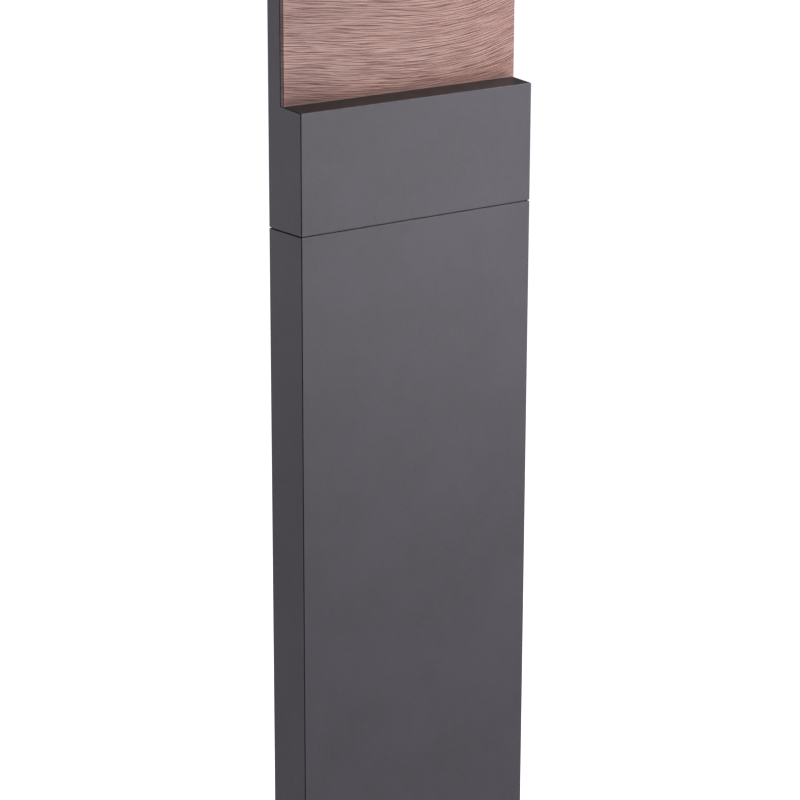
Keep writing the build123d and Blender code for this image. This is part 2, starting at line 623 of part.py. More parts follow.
def earth_ring():
    """The ring terminal of the earth bond: a washer with a tail that is crimped on the wire."""
    x, y, z = BOX_SCREW_X, Y_TRAY - BOX_WALL, BOX_SCREW_Z
    ring = rod_y(x, z, y - RING_THICKNESS, y, 8.0)
    ring += block(x - 1.5, x + 1.5, y - RING_THICKNESS, y, z - RING_TAIL, z)
    return ring - rod_y(x, z, y - 2, y + 1, 3.6)


def terminal_x(pole):
    """The X of pole 0 (live), 1 (neutral) or 2 (earth)."""
    return (pole - 1) * TERMINAL_PITCH


def terminal_block():
    """Three poles in one moulding, with a wire slot along Z and two screw wells in each."""
    back = Y_TRAY - BOX_WALL
    body = block(-17.0, 17.0, TERMINAL_FRONT + 2.0, back, Z_TERMINAL, Z_TERMINAL_TOP)
    mid = (Z_TERMINAL + Z_TERMINAL_TOP) / 2
    slot = (TERMINAL_WIRE_Y - 1.3, BOND_WIRE_Y + 1.2)
    for pole in range(3):
        x = terminal_x(pole)
        body += block(x - 4.2, x + 4.2, TERMINAL_FRONT, TERMINAL_FRONT + 3, Z_TERMINAL, Z_TERMINAL_TOP)
        body -= block(x - 1.6, x + 1.6, *slot, Z_TERMINAL - 1, Z_TERMINAL_TOP + 1)
        for z in (mid - 5.0, mid + 5.0):
            body -= rod_y(x, z, TERMINAL_FRONT - 1, TERMINAL_WIRE_Y, 4.0)
    return body


def terminal_screws():
    """Slotted clamping screws at the bottom of the block's wells, pressing on the cores."""
    front, tip = TERMINAL_FRONT + 1.5, TERMINAL_WIRE_Y - CORE_DIAMETER / 2
    screw = rod_y(0, 0, front, tip, 3.8) - block(-2, 2, front - 1, front + 1, -0.4, 0.4)
    mid = (Z_TERMINAL + Z_TERMINAL_TOP) / 2
    return Compound([Pos(terminal_x(p), 0, z) * screw for p in range(3) for z in (mid - 5.0, mid + 5.0)])


def lead_core(pole):
    """One of the supply lead's three cores, from the upper gland to its terminal."""
    start_x = LEAD_X + CORE_SPREAD * (pole - 1)
    start_y = CABLE_Y + (0.7 if pole == 1 else -1.1)
    start_z = Z_BOX_TOP - GLAND_BOSS - 2.0
    level = start_z - 12.0 - CORE_LEVEL_STEP * (pole - 1)
    points = [
        (start_x, start_y, start_z),
        (start_x, start_y, level),
        (terminal_x(pole), TERMINAL_WIRE_Y, level - 2.0),
        (terminal_x(pole), TERMINAL_WIRE_Y, Z_TERMINAL_TOP - 3.0),
    ]
    return wire(points, [5.0, 5.0], CORE_DIAMETER)


class Gland:
    """A cable gland: x is its axis, z the box face it seats on, and up is 1 or -1 for the way it points."""

    def __init__(self, x, z, up, thread, flats, bore):
        self.x, self.z, self.up = x, z, up
        self.thread, self.flats, self.bore = thread, flats, bore

    def along(self, start, end):
        """Two levels, lower first, measured outwards from the box face."""
        return sorted((self.z + self.up * start, self.z + self.up * end))

    def rod(self, start, end, diameter):
        return rod_z(self.x, CABLE_Y, *self.along(start, end), diameter)

    def hexagon(self, start, end):
        return hex_z(self.x, CABLE_Y, *self.along(start, end), self.flats)

    def body(self):
        threads = self.rod(-GLAND_BOSS - 1, 0, self.thread) + self.rod(0, 13, self.thread - 1)
        return threads + self.hexagon(0, 5) - self.rod(-20, 20, self.thread - 3.6)

    def seal(self):
        return self.rod(2, 12, self.thread - 3.8) - self.rod(-30, 30, self.bore)

    def nut(self):
        """The domed hexagonal nut that squeezes the seal onto the cable."""
        dome = self.rod(13.5, 19, self.flats * 0.86)
        dome = fillet(dome.edges().group_by(Axis.Z)[-1 if self.up > 0 else 0], self.flats * 0.18)
        cup = self.rod(5, 14, self.thread - 0.8)
        return self.hexagon(5.3, 13.5) + dome - cup - self.rod(-30, 30, self.bore + 1)


SUPPLY_GLAND = Gland(0.0, Z_BOX, -1, 16.0, 20.0, 10.0)
LEAD_GLAND = Gland(LEAD_X, Z_BOX_TOP, 1, 12.0, 17.0, LEAD_DIAMETER + 0.2)


def supply_lead():
    """The sheathed lead from the upper gland, up the tray and through the coupling to the driver."""
    turn_x = DRIVER_X1 + 35.0
    points = [
        (DRIVER_X1, MAINS_EXIT_Y, MAINS_EXIT_Z),
        (turn_x, MAINS_EXIT_Y, MAINS_EXIT_Z),
        (turn_x, MAINS_EXIT_Y, 545.0),
        (LEAD_X, LEAD_Y, 505.0),
        (LEAD_X, LEAD_Y, 235.0),
        (LEAD_X, CABLE_Y, 205.0),
        (LEAD_X, CABLE_Y, Z_BOX_TOP - GLAND_BOSS - 2.0),
    ]
    return wire(points, [33.0, 40.0, 40.0, 50.0, 50.0], LEAD_DIAMETER)


def earth_wire():
    """The bond from the ring terminal to the earth pole."""
    ring_y = Y_TRAY - BOX_WALL - RING_THICKNESS - CORE_DIAMETER / 2 - 0.1
    crimp_z = BOX_SCREW_Z - RING_TAIL
    points = [
        (BOX_SCREW_X, ring_y, crimp_z + 4.5),
        (BOX_SCREW_X, ring_y, crimp_z - 1.5),
        (terminal_x(2), BOND_WIRE_Y, crimp_z - 4.5),
        (terminal_x(2), BOND_WIRE_Y, Z_TERMINAL_TOP - 3.0),
    ]
    return wire(points, [3.0, 3.0], CORE_DIAMETER)


# ---- foot ---------------------------------------------------------------------------------------------
def base_plate():
    plate = centred(FOOT_LENGTH / 2, FOOT_DEPTH / 2, 0, FOOT_THICKNESS)
    plate = fillet(plate.edges().filter_by(Axis.Z), 8.0)
    plate = fillet(plate.faces().sort_by(Axis.Z)[-1].edges(), 0.8)
    for x, y in corners(ANCHOR_SPACING_X / 2, ANCHOR_SPACING_Y / 2):
        plate -= rod_z(x, y, -1, FOOT_THICKNESS + 1, ANCHOR_HOLE)
    plate -= rod_z(0, CABLE_Y, -1, FOOT_THICKNESS + 1, 22.0)
    for x, y in corners(UPRIGHT_SCREW_X, UPRIGHT_SCREW_Y):
        plate -= Pos(x, y, Z_UPRIGHT_SCREW) * Rot(180, 0, 0) * countersink(5.0, 10.0, 0.1)
    return plate


def foot_upright(side):
    """A bent steel angle that the post drops over; side is -1 for left and 1 for right."""
    out = SPIGOT_X
    leg = block(out - UPRIGHT_THICKNESS, out, -UPRIGHT_HALF, UPRIGHT_HALF, Z_POST, Z_POST + UPRIGHT_HEIGHT)
    leg = chamfer(edges_along(leg, Axis.X, lambda c: c.Z > Z_POST + UPRIGHT_HEIGHT - 1), 4.0)
    base = block(out - UPRIGHT_LEG, out, -UPRIGHT_HALF, UPRIGHT_HALF, Z_POST, Z_POST + UPRIGHT_THICKNESS)
    angle = leg + base
    heel = edges_along(angle, Axis.Y, lambda c: c.X > out - 0.01 and c.Z < Z_POST + 0.01)
    angle = fillet(heel, UPRIGHT_THICKNESS)
    inner_x, inner_z = out - UPRIGHT_THICKNESS, Z_POST + UPRIGHT_THICKNESS
    crook = edges_along(angle, Axis.Y, lambda c: abs(c.X - inner_x) < 0.01 and abs(c.Z - inner_z) < 0.01)
    angle = fillet(crook, 1.5)
    angle -= rod_x(0, CLAMP_Z, out - 10, out + 1, 6.4)
    for y in (-UPRIGHT_SCREW_Y, UPRIGHT_SCREW_Y):
        angle -= rod_z(UPRIGHT_SCREW_X, y, Z_POST - 1, Z_POST + 10, 5.1)
    return angle if side > 0 else mirror(angle, Plane.YZ)


def upright_screws():
    screw = countersunk_screw(5.0, 7.6, 10.0, 3.0)
    spots = corners(UPRIGHT_SCREW_X, UPRIGHT_SCREW_Y)
    return Compound([Pos(x, y, Z_UPRIGHT_SCREW) * Rot(180, 0, 0) * screw for x, y in spots])


def clamp_nuts():
    """Hexagonal nuts welded inside the uprights."""
    nuts = []
    out = SPIGOT_X - UPRIGHT_THICKNESS
    for s in (-1, 1):
        nut = extrude(RegularPolygon(5.0, 6, major_radius=False), 5.0) - Cylinder(3.05, 20)
        nuts.append(Pos(s * out, 0, CLAMP_Z) * Rot(0, -90 * s, 0) * nut)
    return Compound(nuts)



def clamp_washer(side):
    x0, x1 = sorted((side * HALF_WIDTH, side * (HALF_WIDTH + WASHER_THICKNESS)))
    washer = rod_x(0, CLAMP_Z, x0, x1, 12.5)
    return washer - rod_x(0, CLAMP_Z, x0 - 1, x1 + 1, 6.3)


def clamp_screw(side):
    screw = socket_screw(CLAMP_THREAD, 13.5, 10.5, 3.3, 4.0)
    return Pos(side * (HALF_WIDTH + WASHER_THICKNESS), 0, CLAMP_Z) * Rot(0, 90 * side, 0) * screw


def cable_grommet():
    """The rubber bush that lines the cable hole in the foot."""
    bush = rod_z(0, CABLE_Y, 0.5, FOOT_THICKNESS + 0.01, 21.9)
    lip = rod_z(0, CABLE_Y, FOOT_THICKNESS, FOOT_THICKNESS + 2.5, 27.0)
    lip = fillet(lip.edges().group_by(Axis.Z)[-1], 1.5)
    return bush + lip - rod_z(0, CABLE_Y, -1, FOOT_THICKNESS + 5, CABLE_ENTRY_BORE)


# ---- every sub-part, by node name ---------------------------------------------------------------------
NODES = {
    "head_housing": head_housing,
    "wood_panel": wood_panel,
    "panel_tape": panel_tape,
    "led_carrier": led_carrier,
    "led_board": led_board,
    "led_chips": led_chips,
    "led_connector": led_connector,
    "carrier_screws": carrier_screws,
    "diffuser_gasket": diffuser_gasket,
    "diffuser": diffuser,
    "diffuser_bezel": diffuser_bezel,
    "bezel_screws": bezel_screws,
    "led_driver": led_driver,
    "driver_screws": driver_screws,
    "led_wires": led_wires,
    "wire_grommet": wire_grommet,
    "coupling": coupling,
    "seam_gasket": seam_gasket,
    "coupling_screws": coupling_screws,
    "spigot_screws": spigot_screws,
    "post_profile": post_profile,
    "gear_tray": gear_tray,
    "tray_screws": tray_screws,
    "cable_clips": cable_clips,
    "connection_box": connection_box,
    "box_seal": box_seal,
    "box_lid": box_lid,
    "lid_screws": lid_screws,
    "box_screws": box_screws,
    "earth_ring": earth_ring,
    "earth_wire": earth_wire,
    "terminal_block": terminal_block,
    "terminal_screws": terminal_screws,
    "core_live": lambda: lead_core(0),
    "core_neutral": lambda: lead_core(1),
    "core_earth": lambda: lead_core(2),
    "supply_gland_body": SUPPLY_GLAND.body,
    "supply_gland_seal": SUPPLY_GLAND.seal,
    "supply_gland_nut": SUPPLY_GLAND.nut,
    "lead_gland_body": LEAD_GLAND.body,
    "lead_gland_seal": LEAD_GLAND.seal,
    "lead_gland_nut": LEAD_GLAND.nut,
    "supply_lead": supply_lead,
    "base_plate": base_plate,
    "foot_upright_left": lambda: foot_upright(-1),
    "foot_upright_right": lambda: foot_upright(1),
    "upright_screws": upright_screws,
    "clamp_nuts": clamp_nuts,
    "clamp_screw_left": lambda: clamp_screw(-1),
    "clamp_screw_right": lambda: clamp_screw(1),
    "clamp_washer_left": lambda: clamp_washer(-1),
    "clamp_washer_right": lambda: clamp_washer(1),
    "cable_grommet": cable_grommet,
}

os.makedirs("parts", exist_ok=True)
for name, make in NODES.items():
    export_step(make(), f"parts/{name}.step")
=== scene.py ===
"""Looks for the bollard light: materials, floor, light and camera.

Every CAD piece keeps its shape and gets a procedural material.  The floor is a glowing white sheet, and
the light comes from soft boxes round the object.  Places are in metres, in the CAD model's own frame;
materials work in millimetres of object space.  Colours are linear red, green and blue.
"""

import json
import math

import bpy
from mathutils import Matrix, Vector


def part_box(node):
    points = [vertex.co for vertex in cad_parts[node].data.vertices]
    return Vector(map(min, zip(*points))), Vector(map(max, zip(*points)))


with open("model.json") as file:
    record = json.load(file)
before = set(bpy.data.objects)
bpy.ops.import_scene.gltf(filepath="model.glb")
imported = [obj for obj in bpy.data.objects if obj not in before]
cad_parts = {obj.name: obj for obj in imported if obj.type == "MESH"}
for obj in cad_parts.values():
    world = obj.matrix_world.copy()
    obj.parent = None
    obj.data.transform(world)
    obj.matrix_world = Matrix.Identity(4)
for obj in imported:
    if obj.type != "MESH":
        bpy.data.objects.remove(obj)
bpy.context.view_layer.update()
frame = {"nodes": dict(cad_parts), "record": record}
MM = 0.001

# ---- places read from the frame, in millimetres -------------------------------------------------------
SEAM_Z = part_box("seam_gasket")[0].z / MM
PANEL_LOW, PANEL_HIGH = (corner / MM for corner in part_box("wood_panel"))
CHIPS_LOW, CHIPS_HIGH = (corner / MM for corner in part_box("led_chips"))


# ---- node helpers -------------------------------------------------------------------------------------
def scaled(colour, factor):
    """A lighter or darker version of a colour, by a factor."""
    return tuple(min(1.0, channel * factor) for channel in colour)


class Shader:
    """A node material around one Principled shader.

    Keyword settings are values of the shader's own inputs, such as Specular_IOR_Level=0.2.  A method
    that adds nodes returns an output socket, which the other methods take like a number or a colour.
    """

    def __init__(self, name, **settings):
        self.material = bpy.data.materials.new(name)
        self.material.use_nodes = True
        self.tree = self.material.node_tree
        self.tree.nodes.clear()
        output = self.tree.nodes.new("ShaderNodeOutputMaterial")
        self.surface = self.tree.nodes.new("ShaderNodeBsdfPrincipled")
        self.tree.links.new(self.surface.outputs[0], output.inputs["Surface"])
        for socket, value in settings.items():
            self.set(socket.replace("_", " "), value)
        coordinates = self.tree.nodes.new("ShaderNodeTexCoord")
        self.place = self.vector("MULTIPLY", coordinates.outputs["Object"], (1 / MM, 1 / MM, 1 / MM))
        self.normal = coordinates.outputs["Normal"]

    def put(self, socket, value):
        """Links a node's output into an input, or sets the input to a plain value."""
        if isinstance(value, bpy.types.NodeSocket):
            self.tree.links.new(value, socket)
        elif socket.type == "RGBA" and len(value) == 3:
            socket.default_value = (*value, 1.0)
        else:
            socket.default_value = value

    def set(self, name, value):
        """Sets or links one of the shader's own inputs."""
        self.put(self.surface.inputs[name], value)

    def math(self, operation, first, second=0.0):
        node = self.tree.nodes.new("ShaderNodeMath")
        node.operation = operation
        self.put(node.inputs[0], first)
        self.put(node.inputs[1], second)
        return node.outputs[0]

    def total(self, *terms):
        """The sum of (value, factor) pairs."""
        result = 0.0
        for value, factor in terms:
            result = self.math("ADD", self.math("MULTIPLY", value, factor), result)
        return result

    def vector(self, operation, first, second=(0.0, 0.0, 0.0)):
        node = self.tree.nodes.new("ShaderNodeVectorMath")
        node.operation = operation
        self.put(node.inputs[0], first)
        self.put(node.inputs[1], second)
        return node.outputs["Value" if operation in ("LENGTH", "DOT_PRODUCT") else "Vector"]

    def split(self, vector):
        node = self.tree.nodes.new("ShaderNodeSeparateXYZ")
        self.put(node.inputs[0], vector)
        return node.outputs[0], node.outputs[1], node.outputs[2]

    def join(self, x=0.0, y=0.0, z=0.0):
        node = self.tree.nodes.new("ShaderNodeCombineXYZ")
        for socket, value in zip(node.inputs, (x, y, z)):
            self.put(socket, value)
        return node.outputs[0]

    def noise(self, size, detail=2.0, roughness=0.5, place=None, shift=0.0):
        """Noise whose features are about size millimetres; size may be a number or one per axis."""
        sizes = size if isinstance(size, tuple) else (size, size, size)
        place = self.place if place is None else place
        where = self.vector("MULTIPLY", place, tuple(1.0 / length for length in sizes))
        node = self.tree.nodes.new("ShaderNodeTexNoise")
        node.inputs["Scale"].default_value = 1.0
        node.inputs["Detail"].default_value = detail
        node.inputs["Roughness"].default_value = roughness
        self.put(node.inputs["Vector"], self.vector("ADD", where, (shift, shift, shift)))
        return node.outputs[0]

    def cells(self, size, output="Distance", feature="F1", place=None):
        """Voronoi cells of about that size in millimetres."""
        node = self.tree.nodes.new("ShaderNodeTexVoronoi")
        node.feature = feature
        node.inputs["Scale"].default_value = 1.0 / size
        self.put(node.inputs["Vector"], self.place if place is None else place)
        return node.outputs[output]

    def ramp(self, value, low, high, to_low=0.0, to_high=1.0):
        """Maps value smoothly from low..high to to_low..to_high, held beyond both ends."""
        node = self.tree.nodes.new("ShaderNodeMapRange")
        node.interpolation_type = "SMOOTHSTEP"
        ends = {"From Min": low, "From Max": high, "To Min": to_low, "To Max": to_high}
        for name, number in ends.items():
            node.inputs[name].default_value = number
        self.put(node.inputs["Value"], value)
        return node.outputs[0]

    def within(self, value, limit, blur):
        """1 where value is below limit and 0 above it, with the step blurred to each side."""
        return self.ramp(value, limit + blur, limit - blur)

    def mix(self, factor, first, second):
        """The first colour where factor is 0, the second where it is 1."""
        node = self.tree.nodes.new("ShaderNodeMix")
        node.data_type = "RGBA"
        colour_a, colour_b = (socket for socket in node.inputs if socket.type == "RGBA")
        self.put(node.inputs["Factor"], factor)
        self.put(colour_a, first)
        self.put(colour_b, second)
        return next(socket for socket in node.outputs if socket.type == "RGBA")

    def stain(self, tone, value, low, high, strength, colour):
        """Lays a colour over a tone: nothing where value is at low, rising to that strength at high."""
        return self.mix(self.ramp(value, low, high, 0.0, strength), tone, colour)

    def bump(self, height, depth):
        """Raises the surface by height times depth millimetres."""
        node = self.tree.nodes.new("ShaderNodeBump")
        node.inputs["Distance"].default_value = depth * MM
        self.put(node.inputs["Height"], height)
        self.set("Normal", node.outputs[0])

    def facing(self, *direction):
        """How squarely the surface faces a direction, -1 to 1."""
        return self.vector("DOT_PRODUCT", self.normal, direction)


# ---- powder coat --------------------------------------------------------------------------------------
COAT = (0.0226, 0.0220, 0.0258)
COAT_GLOSS = 0.21
PAINTED_EDGE_SHADE = (0.0015, 0.0012, 0.0018)  # painted shade: a dark line along two of the upright edges
# painted highlight on the edges that catch the light
PAINTED_EDGE_HIGHLIGHT = (0.082, 0.075, 0.078)
# dust on level tops, and a painted brown reflection of the wood board on the ledge
DUST_AND_PAINTED_REFLECTION = (0.060, 0.055, 0.040)


def powder_coat(name, shift, painted_shade_on_edges=True):
    """Fine-textured anthracite powder coat: painted highlights on edges, dust and a painted reflection
    where level, painted shade along two upright edges.

    The edges are known by their normals, which on a rounding point between the axes: across by along is
    positive on the rounding of the front left and back right edges, and negative on the other two.
    """
    s = Shader(name, Specular_IOR_Level=COAT_GLOSS)
    cloud = s.noise(45.0, 3.0, 0.55, shift=shift)
    mottle = s.noise(5.0, 2.0, 0.6, shift=shift)
    grain = s.noise(0.6, 2.0, 0.6, shift=shift)
    fleck = s.noise(1.4, 1.0, 0.5, shift=shift + 7.0)
    tone = s.mix(s.ramp(cloud, 0.35, 0.65), scaled(COAT, 0.90), scaled(COAT, 1.10))
    tone = s.stain(tone, mottle, 0.3, 0.7, 0.30, scaled(COAT, 1.30))
    tone = s.stain(tone, grain, 0.3, 0.7, 0.30, scaled(COAT, 1.45))
    tone = s.stain(tone, fleck, 0.60, 0.74, 0.35, scaled(COAT, 0.45))

    across, along, up = s.split(s.normal)
    upright = s.math("MULTIPLY", across, along)
    level = s.math("MULTIPLY", s.math("ABSOLUTE", along), up)
    # painted highlight along the level edges and the front right and back left upright edges, broken up
    # by the mottle
    painted_highlight = s.math("MAXIMUM", s.ramp(level, 0.06, 0.30), s.ramp(upright, -0.06, -0.30))
    tone = s.mix(s.math("MULTIPLY", painted_highlight, s.ramp(mottle, 0.2, 0.6, 0.4, 0.9)), tone, PAINTED_EDGE_HIGHLIGHT)
    # dust on level faces, partly a painted reflection of the board
    settled = s.math("MULTIPLY", s.ramp(up, 0.80, 0.99), s.ramp(mottle, 0.2, 0.7, 0.25, 0.45))
    tone = s.mix(settled, tone, DUST_AND_PAINTED_REFLECTION)
    roughness = s.ramp(grain, 0.3, 0.7, 0.45, 0.55)
    # painted shade: the front left and back right upright edges darkened to a near-black line
    if painted_shade_on_edges:
        painted_shade = s.ramp(upright, 0.01, 0.07)
        tone = s.mix(painted_shade, tone, PAINTED_EDGE_SHADE)
        roughness = s.total((roughness, 1.0), (painted_shade, 0.3))
    s.set("Base Color", tone)
    s.set("Roughness", roughness)
    s.bump(s.total((grain, 1.0), (mottle, 0.8)), 0.05)
    return s.material


# ---- wood-look board ----------------------------------------------------------------------------------
WOOD = (0.166, 0.099, 0.078)
WOOD_OCHRE = (0.168, 0.101, 0.069)
WOOD_ROSE = (0.168, 0.088, 0.074)
WOOD_STREAK = (0.118, 0.065, 0.051)
# warmer tone, which near the foot is also painted shade
WOOD_WARM_AND_SHADED = (0.164, 0.064, 0.043)
# painted shade
WOOD_PAINTED_SHADE = (0.085, 0.040, 0.034)
PORE = (0.060, 0.027, 0.021)
MARGIN = (0.228, 0.124, 0.074)
CUT_EDGE = (0.290, 0.205, 0.170)
# painted shade along the board's sides
PAINTED_EDGE_SHADOW = (0.045, 0.019, 0.016)
GRAIN_SLOPE = -0.10  # at the left edge, where the grain falls to the right
BEND_START = -10.0  # X where the grain begins to climb
BEND = 0.0018  # climb of the grain per square millimetre past there
RIPPLE = 5.0  # height of the grain's long waves
QUIVER = 0.5  # height of its short ones
PORE_ROWS = (  # pitch, seed, half width of a pore, depth
    (1.2, 23.0, 0.13, 0.85),
    (1.6, 41.0, 0.18, 1.0),
    (2.2, 67.0, 0.22, 1.0),
)
PORE_LENGTH = 27.0
PORE_SWAY = 2.2  # how many pitches a row of pores wanders in the long run, and from pore to pore
PORE_JITTER = 0.20
PORE_HIGHLIGHT_OFFSET = 0.24  # from a pore's side to the middle of the painted highlight beside it
MARGIN_WIDTH = 2.6  # of the pale strip down the left edge
CUT_EDGE_WIDTH = 1.0  # of the pale line along the board's foot
PAINTED_EDGE_SHADOW_WIDTH = 0.2  # of the painted shade line down both sides
WARM_AND_SHADE_FULL = 10.0  # the height above the foot added to the grain's, where the warm band, partly painted shade, is at its full
WARM_AND_SHADE_END = 36.0
PAINTED_SHADE_AT_LEFT = (  # painted shade towards the left, low and high: distances from the left where full and where ended, the same from the foot, strength
    (5.0, 75.0, 6.0, 32.0, 0.44),
    (10.0, 150.0, 62.0, 28.0, 0.26),
)


def pore_row(s, course, grain, pitch, seed):
    """Wavy rows of long pores: how far off the nearest row is, and whether there is a pore in it.

    Course is a distance across the grain, and grain the point in the board's straightened grain.
    """
    sway = s.noise((60.0, 1.0, 7.0), 1.0, 0.5, grain, seed)
    jitter = s.noise((14.0, 1.0, 3.0), 1.0, 0.5, grain, seed + 3.0)
    turn = s.math("FRACT", s.total((course, 1 / pitch), (sway, PORE_SWAY), (jitter, PORE_JITTER)))
    beside = s.math("MULTIPLY", s.math("ABSOLUTE", s.math("SUBTRACT", turn, 0.5)), pitch)
    presence = s.noise((PORE_LENGTH, 1.0, pitch * 0.8), 1.0, 0.5, grain, seed + 9.0)
    return beside, s.ramp(presence, 0.38, 0.62)


def all_pores(s, course, grain):
    """The pores of every row, and the painted highlights beside them where a groove's lit wall would be.
    """
    pores = pore_highlights = 0.0
    for pitch, seed, half, depth in PORE_ROWS:
        beside, present = pore_row(s, course, grain, pitch, seed)
        pore = s.math("MULTIPLY", s.ramp(beside, half + 0.03, half * 0.45, 0.0, depth), present)
        from_row_highlight = s.math("ABSOLUTE", s.math("SUBTRACT", beside, half + PORE_HIGHLIGHT_OFFSET))
        row_highlight = s.math("MULTIPLY", s.ramp(from_row_highlight, PORE_HIGHLIGHT_OFFSET, 0.06, 0.0, depth), present)
        pores = s.math("MAXIMUM", pores, pore)
        pore_highlights = s.math("MAXIMUM", pore_highlights, row_highlight)
    return pores, pore_highlights


def board_edges(s, tone, x, y, z):
    """The board's pale left margin, painted shade towards its left side, pale cut foot and painted shade
    as dark lines down both sides.
    """
    from_side = s.total((s.math("ABSOLUTE", x), -1.0), (PANEL_HIGH.x, 1.0))
    from_left = s.math("SUBTRACT", x, PANEL_LOW.x)
    from_foot = s.math("SUBTRACT", z, PANEL_LOW.z)
    from_front = s.math("SUBTRACT", y, PANEL_LOW.y)
    side = s.ramp(s.math("ABSOLUTE", s.facing(1, 0, 0)), 0.90, 0.95)
    tone = s.stain(tone, from_left, MARGIN_WIDTH, MARGIN_WIDTH - 0.8, 0.45, MARGIN)
    # painted shade near the ledge's corner at the lower left, and at the upper left
    for left_full, left_end, foot_full, foot_end, strength in PAINTED_SHADE_AT_LEFT:
        near_left = s.ramp(from_left, left_end, left_full)
        near_foot = s.ramp(from_foot, foot_end, foot_full, 0.0, strength)
        tone = s.mix(s.math("MULTIPLY", near_left, near_foot), tone, WOOD_PAINTED_SHADE)
    tone = s.stain(tone, from_foot, CUT_EDGE_WIDTH + 0.3, CUT_EDGE_WIDTH - 0.3, 0.45, CUT_EDGE)
    # painted shade: dark lines down both sides, and on the side faces next to the front
    front_line = s.math("MULTIPLY", side, s.ramp(from_front, 1.0, 0.7))
    painted_edge_shadow = s.math("MAXIMUM", front_line, s.ramp(from_side, PAINTED_EDGE_SHADOW_WIDTH + 0.1, PAINTED_EDGE_SHADOW_WIDTH - 0.05))
    return s.mix(s.math("MULTIPLY", painted_edge_shadow, 0.85), tone, PAINTED_EDGE_SHADOW)


def wood_board(name):
    """Embossed oak print: grain that falls gently from the left edge and climbs towards the right."""
    s = Shader(name, Specular_IOR_Level=0.25)
    x, y, z = s.split(s.place)
    past_bend = s.math("MAXIMUM", s.math("SUBTRACT", x, BEND_START), 0.0)
    bend = s.math("MULTIPLY", past_bend, past_bend)
    ripple = s.noise((75.0, 40.0, 18.0), 1.0, shift=3.0)
    quiver = s.noise((13.0, 9.0, 5.0), 1.0, shift=9.0)
    course = s.total((z, 1.0), (x, -GRAIN_SLOPE), (bend, -BEND), (ripple, RIPPLE), (quiver, QUIVER))
    grain = s.join(x, 0.0, course)

    fibre = s.noise((24.0, 1.0, 0.50), 3.0, 0.65, grain)
    band = s.noise((90.0, 1.0, 8.0), 2.0, 0.5, grain, shift=5.0)
    streak = s.noise((30.0, 1.0, 2.2), 2.0, 0.5, grain, shift=17.0)
    blotch = s.noise(22.0, 1.0, 0.5, shift=2.0)
    hue = s.noise((50.0, 1.0, 12.0), 1.0, 0.5, grain, shift=31.0)
    fleck = s.noise(0.8, 1.0, 0.5, shift=13.0)
    pores, pore_highlights = all_pores(s, course, grain)

    tone = s.mix(s.ramp(band, 0.35, 0.65), scaled(WOOD, 0.90), scaled(WOOD, 1.08))
    tone = s.stain(tone, hue, 0.42, 0.62, 0.7, WOOD_OCHRE)
    tone = s.stain(tone, hue, 0.46, 0.34, 0.6, WOOD_ROSE)
    tone = s.stain(tone, streak, 0.48, 0.72, 0.5, WOOD_STREAK)
    tone = s.stain(tone, blotch, 0.45, 0.7, 0.3, scaled(WOOD, 1.2))
    tone = s.stain(tone, fibre, 0.42, 0.68, 0.65, scaled(WOOD, 1.40))
    tone = s.stain(tone, fibre, 0.52, 0.30, 0.70, scaled(WOOD, 0.55))
    # a darker, warmer band at the foot: partly the print's tone, partly painted shade where the board
    # meets the ledge
    both_heights = s.total((course, 1.0), (z, 1.0), (1.0, -2 * PANEL_LOW.z))
    warm_and_shaded_foot = s.ramp(both_heights, WARM_AND_SHADE_END, WARM_AND_SHADE_FULL, 0.0, 0.80)
    warm_right = s.ramp(x, -10.0, 80.0, 0.0, 0.22)
    tone = s.mix(s.math("MAXIMUM", warm_and_shaded_foot, warm_right), tone, WOOD_WARM_AND_SHADED)
    tone = s.stain(tone, fleck, 0.50, 0.75, 0.22, scaled(WOOD, 1.6))
    tone = s.stain(tone, fleck, 0.50, 0.25, 0.22, WOOD_STREAK)
    # painted highlights beside the pores
    tone = s.mix(s.math("MULTIPLY", pore_highlights, 0.62), tone, scaled(WOOD, 1.9))
    tone = s.mix(s.math("MULTIPLY", pores, 0.88), tone, PORE)
    s.set("Base Color", board_edges(s, tone, x, y, z))
    s.set("Roughness", s.total((s.ramp(fibre, 0.3, 0.7, 0.50, 0.42), 1.0), (pores, 0.25)))
    s.bump(s.total((fibre, 0.25), (pores, -1.0)), 0.14)
    return s.material


# ---- metals -------------------------------------------------------------------------------------------
SPANGLE = 5.5  # size of a zinc crystal


def brushed_metal(name, colour, along, roughness=0.36):
    """Bare metal with fine drawn lines along one axis (0, 1 or 2), and a few deeper scratches."""
    s = Shader(name, Metallic=1.0)
    line = tuple(60.0 if axis == along else 0.22 for axis in range(3))
    scratch = tuple(25.0 if axis == along else 0.8 for axis in range(3))
    lines = s.noise(line, 2.0, 0.6)
    scratches = s.ramp(s.noise(scratch, 1.0, shift=11.0), 0.68, 0.76)
    cloud = s.noise(16.0, 2.0, shift=4.0)
    tone = s.mix(s.ramp(lines, 0.3, 0.7), scaled(colour, 0.86), scaled(colour, 1.10))
    tone = s.stain(tone, cloud, 0.4, 0.7, 0.4, scaled(colour, 0.80))
    s.set("Base Color", s.mix(scratches, tone, scaled(colour, 1.25)))
    grooves = s.ramp(lines, 0.3, 0.7, roughness - 0.07, roughness + 0.08)
    s.set("Roughness", s.total((grooves, 1.0), (cloud, 0.1)))
    s.bump(s.total((lines, 1.0), (scratches, -1.0)), 0.012)
    return s.material


